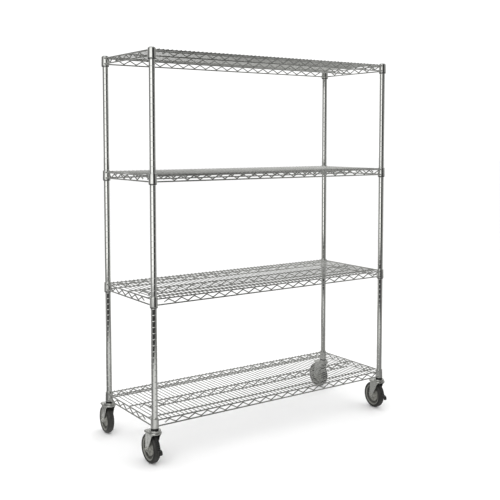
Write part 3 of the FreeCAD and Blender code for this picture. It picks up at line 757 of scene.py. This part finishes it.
def hole_ring(radius, z):
    """A circle with the same number of points as the crown's outline, each facing its partner."""
    angles = [atan2(y, x) for x, y, _ in crown_ring(0, z)]
    return [(radius * cos(a), radius * sin(a), z) for a in angles]


def smooth_curve(points, value):
    """Height to place by a Catmull-Rom curve through (height, place) points in falling height."""
    for i in range(len(points) - 1):
        (z0, y0), (z1, y1) = points[i], points[i + 1]
        if z0 >= value >= z1:
            before = points[max(i - 1, 0)]
            after = points[min(i + 2, len(points) - 1)]
            t = (z0 - value) / (z0 - z1)
            m0 = (y1 - before[1]) / (before[0] - z1) * (z0 - z1)
            m1 = (after[1] - y0) / (z0 - after[0]) * (z0 - z1)
            return ((2 * t ** 3 - 3 * t ** 2 + 1) * y0 + (t ** 3 - 2 * t ** 2 + t) * m0
                    + (-2 * t ** 3 + 3 * t ** 2) * y1 + (t ** 3 - t ** 2) * m1)
    return points[-1][1]


# the leg's edges, as (height, y)
LEG_FRONT = [(137.5, -22.0), (136.0, -20.5), (133.0, -15.5), (128.5, -11.0), (122.0, -7.0), (113.5, -3.0),
             (101.0, 3.0), (88.0, 10.0), (76.5, 17.0), (66.5, 24.0), (63.5, 24.0)]
LEG_BACK = [(137.5, 45.0), (131.0, 44.4), (100.0, 46.4), (66.5, 48.0), (63.5, 48.0)]


def embossed(share, y, z):
    """How far a leg's outer face is raised by its middle rib, its front lip and the pad at the axle."""
    lift = 0.0
    run = (z - RIB_LOW) / (RIB_HIGH - RIB_LOW)
    if 0 < run < 1:
        over = max(0.0, 1 - abs((share - RIB_AT) / RIB_HALF))
        lift = RIB_LIFT * (over * over * (3 - 2 * over)) * min(1.0, 5 * run, 5 * (1 - run))
    if z > LIP_LOW and share < LIP_SHARE:
        lift = max(lift, LIP_LIFT * sqrt(1 - share / LIP_SHARE) * min(1.0, (z - LIP_LOW) / 8))
    from_axle = hypot(y - TRAIL, z - WHEEL_R)
    if from_axle < PAD_R:
        lift = max(lift, PAD_LIFT * min(1.0, (PAD_R - from_axle) / 1.5))
    return lift


def leg_stations():
    """Sections of a leg, from the crown down: the middle's x and z, the normal's x and z, front, back."""
    middle_x = LEG_IN + SHEET / 2
    flange_z = CROWN_LOW + SHEET / 2
    stations = []
    for x in (27.6, 26.4, 25.2, middle_x + FLANGE_BEND):
        front = 0.4 - sqrt(FLANGE_R ** 2 - x ** 2)
        stations.append((x, flange_z, 0.0, -1.0, front, CROWN_BACK - CROWN_CORNER + 0.6 * (27.6 - x)))
    for i, angle in enumerate(quarter(5), 1):
        x = middle_x + FLANGE_BEND - FLANGE_BEND * sin(angle)
        z = flange_z - FLANGE_BEND + FLANGE_BEND * cos(angle)
        front = 0.4 + 0.4 * i - sqrt(FLANGE_R ** 2 - x * x)
        stations.append((x, z, sin(angle), -cos(angle), front, smooth_curve(LEG_BACK, z)))
    top, bend_front = stations[-1][1], stations[-1][4]
    rows = 26
    for i in range(1, rows + 1):
        z = top + (WHEEL_R - top) * i / rows
        ease = min(1.0, i / 3)
        front = bend_front * (1 - ease) + smooth_curve(LEG_FRONT, z) * ease
        stations.append((middle_x, z, 1.0, 0.0, front, smooth_curve(LEG_BACK, z)))
    for angle in quarter(9):
        half = LEG_BOSS * cos(0.985 * angle)  # the round end stops just short of a point
        z = WHEEL_R - LEG_BOSS * sin(0.985 * angle)
        stations.append((middle_x, z, 1.0, 0.0, TRAIL - half, TRAIL + half))
    return stations


def leg(shape, side):
    """A fork leg: a flange bent down from the crown, embossed, with a round end at the axle."""
    columns = 16
    rings = []
    for x, z, nx, nz, front, back in leg_stations():
        outer, inner = [], []
        width = back - front
        soft = min(0.9, width * 0.2)
        for j in range(columns + 1):
            share = j / columns
            y = front + soft + (width - 2 * soft) * share
            lift = embossed(share, y, z) if nz == 0.0 else 0.0
            outer.append((side * (x + nx * (SHEET / 2 + lift)), y, z + nz * SHEET / 2))
            inner.append((side * (x - nx * SHEET / 2), y, z - nz * SHEET / 2))
        out_x, out_z = side * (x + nx * 0.6), z + nz * 0.6
        in_x, in_z = side * (x - nx * 0.6), z - nz * 0.6
        ring = outer + [(out_x, back, out_z), (in_x, back, in_z)]
        ring += list(reversed(inner)) + [(in_x, front, in_z), (out_x, front, out_z)]
        rings.append(ring if side > 0 else list(reversed(ring)))
    loft(shape, rings)


def fork_shape():
    """The crown, a shallow pressed cup turned upside down, and its two legs."""
    shape = Shape()
    top, low, under = CROWN_TOP, CROWN_LOW, CROWN_TOP - 3.0
    cup = [(4.5, top), (3.2, top - 0.12), (1.7, top - 0.6), (0.6, top - 1.7), (0.1, top - 3.0),
           (0, top - 4.2), (0, low + 0.7), (0.25, low + 0.15), (0.8, low), (1.8, low), (SHEET, low + 0.6),
           (SHEET, top - 4.2), (3.4, top - 3.1)]  # inset, height
    rings = [hole_ring(6.3, top - 0.2), hole_ring(7.0, top), hole_ring(21.0, top)]
    rings += [crown_ring(inset, z) for inset, z in cup]
    rings += [hole_ring(21.0, under), hole_ring(7.0, under), hole_ring(6.3, under + 0.2)]
    loft(shape, [list(reversed(ring)) for ring in rings], closed=True)
    for side in (-1, 1):
        leg(shape, side)
    return shape


def stems_shape():
    """The fixed half of each swivel: a cupped race over the balls, a kingpin and a stem into the post."""
    low = POST_LOW
    race_low = CROWN_TOP + 5.0
    race_top = race_low + 3.5
    head_top = CROWN_TOP - 3.3
    profile = [(0.02, head_top - 3.0), (7.6, head_top - 3.0), (8.6, head_top - 2.5), (9.0, head_top - 1.6),
               (9.0, head_top - 0.2), (8.8, head_top), (6.0, head_top), (6.0, race_low), (23.5, race_low),
               (23.5, CROWN_TOP + 0.7), (24.2, CROWN_TOP + 0.5), (25.0, CROWN_TOP + 0.9),
               (25.0, race_top - 2.4), (24.7, race_top - 1.1), (23.9, race_top - 0.3), (22.6, race_top),
               (18.0, race_top), (STEM_NECK_R, race_top), (STEM_NECK_R, low + 2), (PLUG_R, low + 4),
               (PLUG_R, low + 40), (PLUG_R - 2, low + 42), (0.02, low + 42)]
    return at_posts(profile, 64)


def bumpers_shape():
    """Rubber rings with rounded edges, round the stems' necks."""
    low, high, outer, bore = POST_LOW - 4, POST_LOW, 16.8, STEM_NECK_R + 0.05
    half = [(bore, low), (outer - 1.2, low), (outer - 0.35, low + 0.35), (outer, low + 1.2)]
    profile = half + [(radius, high + low - z) for radius, z in reversed(half)]
    return at_posts(profile)


def balls_shape():
    """Twelve balls in each swivel's race."""
    shape = Shape()
    low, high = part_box("swivel_balls")
    radius = (high.z - low.z) / 2 / MM
    ring = high.x / MM - HALF_X - radius
    for x, y in POST_POINTS:
        for angle in circle(RACE_BALLS):
            centre = (x + ring * cos(angle), y + ring * sin(angle), low.z / MM + radius)
            bead(shape, centre, (radius, radius, radius), 20, 12)
    return shape


def mirrored(half):
    """The other half of a wheel's profile of (radius, across) pairs, in the opposite order."""
    return [(radius, -across) for radius, across in reversed(half)]


def tyre_shape():
    """Tread with round shoulders, two shallow grooves and a raised bead ring on each wall."""
    shape = Shape()
    centre_r, centre_w = WHEEL_R - SHOULDER, TYRE_HALF - SHOULDER
    half = [(RIM_R, RIM_HALF), (RIM_R + 0.2, TYRE_HALF - 0.9), (RIM_R + 0.9, TYRE_HALF - 0.15),
            (RIM_R + 1.6, TYRE_HALF)]
    half += [(centre_r + SHOULDER * sin(a), centre_w + SHOULDER * cos(a)) for a in quarter(14)]
    groove_at = 3.2
    groove = [(-1.3, 0.0), (-0.9, 0.12), (-0.45, 0.85), (0.0, 1.2), (0.45, 0.85), (0.9, 0.12), (1.3, 0.0)]
    half += [(WHEEL_R - depth, groove_at - across) for across, depth in groove]
    turned(shape, half + [(WHEEL_R, 0.0)] + mirrored(half), "X", AXLE, 112)
    return shape


def hub_shape():
    """Boss, ribbed web, raised ring and rim, with rounded edges."""
    shape = Shape()
    half = [(6.3, 17.3), (6.8, 17.5), (12.4, 17.5), (13.6, 17.1), (15.4, 15.3), (16.0, 14.0), (16.6, 7.2),
            (17.6, 6.0), (20.0, 5.3), (26.4, 5.1), (27.6, 5.8), (28.3, 7.2), (29.2, 7.5), (30.0, 7.5),
            (30.8, 7.2), (31.6, 5.8), (32.6, 5.2), (41.0, 5.6), (43.6, 6.4), (45.4, 9.0), (46.2, 12.2),
            (46.9, 13.0), (48.5, 13.0), (RIM_R, RIM_HALF)]
    turned(shape, half + mirrored(half), "X", AXLE, 96)
    for angle in circle(HUB_RIBS):
        cosine, sine = cos(angle), sin(angle)
        rings = []
        for radius, reach in ((15.0, 8.3), (20.0, 8.4), (32.0, 8.4), (40.0, 8.4), (46.9, 8.3)):
            section = ((1.8, -reach + 0.6), (1.4, -reach), (-1.4, -reach), (-1.8, -reach + 0.6),
                       (-1.8, reach - 0.6), (-1.4, reach), (1.4, reach), (1.8, reach - 0.6))
            rings.append([(across, TRAIL + radius * cosine - width * sine,
                           WHEEL_R + radius * sine + width * cosine) for width, across in section])
        loft(shape, rings)
    return shape


def hexagon(shape, start, length, outward):
    """A bolt head or nut across the wheel, chamfered where it faces outward."""
    rings = []
    corner_r = 7.5
    for along, share in ((0.0, 1.0), (length * 0.72, 1.0), (length * 0.93, 0.93), (length, 0.80)):
        ring = []
        for angle in circle(24):
            hexed = corner_r * cos(pi / 6) / cos((angle % (pi / 3)) - pi / 6)
            radius = min(hexed, corner_r * (0.3 + 0.7 * share)) * (1 if share > 0.9 else 0.97)
            ring.append((start + outward * along, TRAIL + radius * cos(angle),
                         WHEEL_R + radius * sin(angle)))
        rings.append(ring)
    loft(shape, rings if outward > 0 else [list(reversed(r)) for r in rings])


def fasteners_shape(braked):
    """Axle bolt with a washer face, a nut with the bolt's thread standing out, and the brake's pin."""
    shape = Shape()
    outer = LEG_IN + SHEET
    bolt = [(0.02, -outer), (4.0, -outer), (4.0, outer + 6.0), (3.6, outer + 6.4), (4.0, outer + 6.8),
            (3.6, outer + 7.2), (3.9, outer + 7.5), (3.2, outer + 8.0), (0.02, outer + 8.0)]
    turned(shape, bolt, "X", AXLE, 32)
    hexagon(shape, -outer, 5.0, -1)
    hexagon(shape, outer, 6.0, 1)
    for side in (-1, 1):
        face = [(4.1, 0), (9.4, 0), (9.6, 0.3), (9.4, 1.0), (4.1, 1.0)]
        turned(shape, [(r, side * (outer + 0.55 + a)) for r, a in face], "X", AXLE, 40)
    if braked:
        pin = [(0.02, -outer - 1.2), (3.0, -outer - 1.2), (4.2, -outer - 0.8), (4.5, -outer), (3.0, -outer),
               (3.0, outer), (4.5, outer), (4.2, outer + 0.8), (3.0, outer + 1.2), (0.02, outer + 1.2)]
        turned(shape, pin, "X", BRAKE_PIN, 32)
    return shape


# ---- the foot brake

ARM_R, ARM_THICK, ARM_HALF, ARM_FLARE = 72.5, 4.0, 6.0, 3.0
ARM_PAST_PIN, ARM_END = 3.2, 7.4  # degrees round the wheel, from its front
TAB_ROOT_R, TAB_ROOT_ANGLE, TAB_AHEAD, TAB_DROP = 74.5, 10.0, 14.0, 19.0
TAB_HALF, TAB_BOW, TAB_SET_IN, TAB_THICK, TAB_THINNER = 9.0, 6.0, 2.275, 3.45, 1.2
TAB_RIDGE, TAB_RIDGES = 0.55, 14  # grip ridges: height, and half waves along the tab


def round_wheel(radius, height):
    """A point this far from the axle, and this many degrees up from the wheel's front."""
    angle = radians(height)
    return np.array((0, TRAIL - radius * cos(angle), WHEEL_R + radius * sin(angle)))


def plate_ring(centre, normal, half_width, thickness, ridge=0.0):
    """A bent plate's cross-section with rounded edges. Its outer face stands ridge higher in the middle."""
    half = thickness / 2
    across = [-1, -0.85, -0.62, -0.4, -0.2, 0, 0.2, 0.4, 0.62, 0.85, 1]
    soft = min(0.9, half_width * 0.3)
    edge_out = (centre + normal * 0.5 * half)[1:]
    edge_in = (centre - normal * 0.5 * half)[1:]
    ring = []
    for share in across:
        x = share * (half_width - soft)
        up = half + (ridge if abs(x) < half_width - 2.5 else 0.0)
        ring.append((x, *(centre + normal * up)[1:]))
    ring += [(half_width, *edge_out), (half_width, *edge_in)]
    ring += [(share * (half_width - soft), *(centre - normal * half)[1:]) for share in reversed(across)]
    ring += [(-half_width, *edge_in), (-half_width, *edge_out)]
    return ring


def brake_arm(shape):
    """The arm, a strip round the tyre's front that is widest at the pin."""
    pin_angle = degrees(atan2(BRAKE_PIN[2] - WHEEL_R, TRAIL - BRAKE_PIN[1]))
    start = pin_angle - ARM_PAST_PIN
    steps = 18
    rings = []
    for i in range(steps + 1):
        height = start + (ARM_END - start) * i / steps
        outward = round_wheel(1.0, height) - round_wheel(0.0, height)
        width = ARM_HALF + ARM_FLARE * max(0.0, 1 - i / 5) ** 2
        rings.append(plate_ring(round_wheel(ARM_R, height), outward, width, ARM_THICK))
    loft(shape, rings)


def brake_tab(shape):
    """The curled tab for the foot, thinner and narrower at its tip, with grip ridges across it."""
    root = round_wheel(TAB_ROOT_R, TAB_ROOT_ANGLE)
    tip = root + np.array((0, -TAB_AHEAD, -TAB_DROP))
    length = np.linalg.norm(tip - root)
    along = (tip - root) / length
    outward = np.array((0, along[2], -along[1]))
    steps = 22
    rings = []
    for i in range(steps + 1):
        share = i / steps
        bow = TAB_BOW * (1 - (2 * share - 1) ** 2)
        centre = root + (tip - root) * share + outward * (bow - TAB_SET_IN)
        slope = TAB_BOW * -4 * (2 * share - 1) / length
        normal = unit(outward - along * slope)
        near_tip = max(0.0, (share - 0.8) / 0.2)
        near_root = max(0.0, (0.12 - share) / 0.12)
        width = TAB_HALF - 3.0 * (1 - sqrt(max(0.0, 1 - near_tip ** 2))) - 2.0 * near_root ** 2
        ridge = TAB_RIDGE * max(0.0, sin(share * pi * TAB_RIDGES)) if 0.3 <= share <= 0.86 else 0.0
        rings.append(plate_ring(centre, normal, width, TAB_THICK - TAB_THINNER * near_tip ** 2, ridge))
    loft(shape, rings)


def brake_shape():
    """Brake lever: a barrel on the cross pin, the arm and the tab."""
    shape = Shape()
    barrel = [(3.05, -17.2), (3.4, -17.5), (5.4, -17.5), (6.0, -16.9), (6.0, 16.9), (5.4, 17.5), (3.4, 17.5),
              (3.05, 17.2)]
    turned(shape, barrel, "X", BRAKE_PIN, 32)
    brake_arm(shape)
    brake_tab(shape)
    return shape


# ---- the casters' pieces

FORK, TYRE_SHAPE, HUB_SHAPE, BRAKE_SHAPE = fork_shape(), tyre_shape(), hub_shape(), brake_shape()
FIXINGS = {True: fasteners_shape(True), False: fasteners_shape(False)}

piece("swivel_stems", as_mesh("swivel_stems", stems_shape()), ZINC, "root", "zinc_steel", ["caster_stems"])
piece("stem_bumpers", as_mesh("stem_bumpers", bumpers_shape()), BUMPER, "root", "bumper_rubber",
      ["caster_bumpers"])
piece("race_balls", as_mesh("race_balls", balls_shape()), BALL_STEEL, "root", "ball_steel", ["swivel_balls"])
for corner in CORNERS:
    braked = corner in BRAKED
    parts = [
        ("fork_pressing", FORK, ZINC, "fork", "zinc_steel", "fork", 40),
        ("fixings", FIXINGS[braked], BOLT, "fork", "bolt_steel", "fasteners", 30),
        ("wheel_tyre", TYRE_SHAPE, TYRE, "wheel", "wheel_tyre", "tyre", 40),
        ("wheel_hub", HUB_SHAPE, HUB, "wheel", "wheel_hub", "hub", 40),
    ]
    if braked:
        parts.append(("brake_pedal_lever", BRAKE_SHAPE, BRAKE, "brake", "brake_black", "brake_lever", 40))
    for part, shape, material, body, slot, node, sharp in parts:
        name = f"{corner}_{part}"
        piece(name, caster_mesh(name, shape, SWING[corner], sharp), material, f"{corner}_{body}", slot,
              [f"{corner}_caster_{node}"], POST_AT[corner])

# the bushes keep their CAD shape
for corner in CORNERS:
    mesh = frame["nodes"][corner + "_caster_bush"].data
    mesh.materials.clear()
    mesh.materials.append(BOLT)

# ---- studio

# The chrome reflects a round grey studio: a wall with a tall soft box and a dark side, a floor and a ceiling.
FLOOR_Z = -0.0004
WALL_R, WALL_TOP = 2.7, 4.5
BRIGHTEST, TINT = 1.3, (1.3, 1.3, 1.28)
# brightness by direction in degrees: the soft box stands at the front left, and the dark side is at the front
WALL_TONES = [(-180, 0.40), (-172, 0.95), (-162, 1.3), (-126, 1.3), (-119, 0.5), (-113, 0.02), (-84, 0.02),
              (-66, 0.14), (-44, 0.26), (-12, 0.44), (12, 0.50), (30, 0.74), (96, 0.74), (114, 0.30),
              (150, 0.16), (180, 0.40)]
SKIRTING_TONES = [(-180, 0.30), (-168, 0.05), (-84, 0.05), (-58, 0.30), (-10, 0.30), (20, 0.85), (104, 0.85),
                  (128, 0.40), (180, 0.30)]
SWEEP_TONES = [(-180, 0.20), (-150, 0.76), (-112, 0.76), (-80, 0.24), (-20, 0.24), (8, 0.62),
               (84, 0.62), (104, 0.28), (160, 0.16), (180, 0.20)]
SKIRTING_FULL, SKIRTING_NONE = 0.25, 0.5  # heights
NEAR_TONE, NEAR_FULL, NEAR_NONE = 0.364, 0.75, 1.15  # the floor under the rack, and radii
FAR_NONE, FAR_FULL = 2.0, 2.4  # radii where the floor takes the skirting's tones
CEILING_TONE, CEILING_EDGE_TONE, CEILING_FROM, CEILING_TO = 0.26, 0.208, 1.2, 2.6
CARD_AT, CARD_R, CARD_TONE = (-0.74, 0.22, 0), 0.27, 0.65


def grey(tone):
    return (tone / BRIGHTEST,) * 3


class Glow(Nodes):
    """A material that only glows, and is only seen in reflections."""

    def __init__(self, name):
        super().__init__(name)
        self.tree.nodes.remove(self.shader)
        self.shader = self.new("Emission")
        self.shader.inputs["Strength"].default_value = 1.0
        self.link(self.shader.outputs[0], self.out.inputs[0])
        split = self.new("SeparateXYZ")
        self.link(self.place, split.inputs[0])
        self.x, self.y, self.z = split.outputs

    def by_direction(self, tones):
        turn = self.span(self.math("ARCTAN2", self.y, self.x), -pi, pi)
        return self.ramp(turn, [((bearing + 180) / 360, grey(tone)) for bearing, tone in tones])

    def from_middle(self):
        return self.math("SQRT", self.plus(self.times(self.x, self.x), self.times(self.y, self.y)))

    def finish(self, tone):
        """Ends the material. It takes tones as shares of the brightest."""
        self.link(self.blend(1.0, tone, TINT, "MULTIPLY"), self.shader.inputs["Color"])
        return self.material


def wall_glow():
    """Bright or dark by direction, with other tones for the skirting at its foot."""
    m = Glow("studio_wall")
    above = m.span(m.z, SKIRTING_FULL, SKIRTING_NONE)
    return m.finish(m.blend(above, m.by_direction(SKIRTING_TONES), m.by_direction(WALL_TONES)))


def sweep_glow():
    """Dark grey under the rack, light or dark by direction round it, and like the skirting at the wall."""
    m = Glow("floor_sweep")
    radius = m.from_middle()
    near = m.span(radius, NEAR_FULL, NEAR_NONE)
    far = m.span(radius, FAR_NONE, FAR_FULL)
    inner = m.blend(near, grey(NEAR_TONE), m.by_direction(SWEEP_TONES))
    return m.finish(m.blend(far, inner, m.by_direction(SKIRTING_TONES)))


def card_glow():
    """A pale card on the floor, which lights the sides of the left casters' forks."""
    m = Glow("white_card")
    tone = CARD_TONE / BRIGHTEST
    return m.finish(m.span(m.noise(3.0), 0.3, 0.7, tone * 0.95, tone))


def ceiling_glow():
    m = Glow("studio_ceiling")
    edge = m.span(m.from_middle(), CEILING_FROM, CEILING_TO)
    return m.finish(m.blend(edge, grey(CEILING_TONE), grey(CEILING_EDGE_TONE)))


def stage_object(name, shape, material):
    obj = new_object(name, as_mesh(name, shape))
    obj.data.materials.append(material)
    return obj


def disc(name, radius, z, material):
    shape = Shape()
    rim = [(radius / MM * cos(a), radius / MM * sin(a), z / MM) for a in circle(96)]
    shape.add(rim, [tuple(range(len(rim)))])
    return stage_object(name, shape, material)


def studio_wall():
    shape = Shape()
    rings = [[(WALL_R / MM * cos(a), WALL_R / MM * sin(a), z) for a in circle(128)]
             for z in (0.0, WALL_TOP / MM)]
    loft(shape, rings, capped=False)
    return stage_object("studio_wall", shape, wall_glow())


def only_in_reflections(obj):
    for ray in ("camera", "diffuse", "shadow", "transmission", "volume_scatter"):
        setattr(obj, "visible_" + ray, False)


# the floor that the camera sees: pale, faintly mottled
paper = Nodes("pale_floor")
paper.set(Specular_IOR_Level=0.1, Roughness=0.9)
paper.colour(paper.shade(paper.noise(2.0, 3.0), (0.90, 0.90, 0.90), (0.92, 0.92, 0.92)))
disc("floor", 60.0, FLOOR_Z, paper.material)

only_in_reflections(studio_wall())
card = disc("card_in_reflections", CARD_R, 0.001, card_glow())
card.location = CARD_AT
only_in_reflections(card)
only_in_reflections(disc("floor_in_reflections", WALL_R, FLOOR_Z / 2, sweep_glow()))
only_in_reflections(disc("ceiling_in_reflections", WALL_R, WALL_TOP, ceiling_glow()))

WORLD_STRENGTH = 1.12
world = bpy.data.worlds.new("studio")
bpy.context.scene.world = world
world.use_nodes = True
world.node_tree.nodes["Background"].inputs["Color"].default_value = (1, 1, 1, 1)
world.node_tree.nodes["Background"].inputs["Strength"].default_value = WORLD_STRENGTH


def soft_light(name, location, target, size, power):
    """A square area light aimed at the target, which reflections don't show."""
    data = bpy.data.lights.new(name, "AREA")
    data.shape = "RECTANGLE"
    data.size = size
    data.size_y = size
    data.energy = power
    lamp = new_object(name, data)
    lamp.location = location
    lamp.rotation_euler = (Vector(target) - Vector(location)).to_track_quat("-Z", "Y").to_euler()
    lamp.visible_glossy = False
    lamp.visible_camera = False


soft_light("key", location=(-3.4, -2.6, 3.6), target=(0, 0, 0.6), size=2.4, power=45)
soft_light("overhead", location=(0.6, 0.4, 4.4), target=(0, 0, 0), size=3.0, power=35)

# ---- camera

LENS, SENSOR, SHIFT_Y = 58.97304, 36.0, -0.10476
CAMERA_AT = (-2.2187, -3.1788, 1.3532)
CAMERA_PITCH, CAMERA_YAW = -0.07, -0.6088  # radians: down from level, and to the right of +Y

camera_data = bpy.data.cameras.new("camera")
camera_data.sensor_width = SENSOR
camera_data.lens = LENS
camera_data.shift_y = SHIFT_Y
camera_data.clip_end = 200.0
camera = new_object("camera", camera_data)
camera.location = CAMERA_AT
camera.rotation_euler = (pi / 2 + CAMERA_PITCH, 0, CAMERA_YAW)
bpy.context.scene.camera = camera
bpy.context.scene.view_settings.view_transform = "Standard"
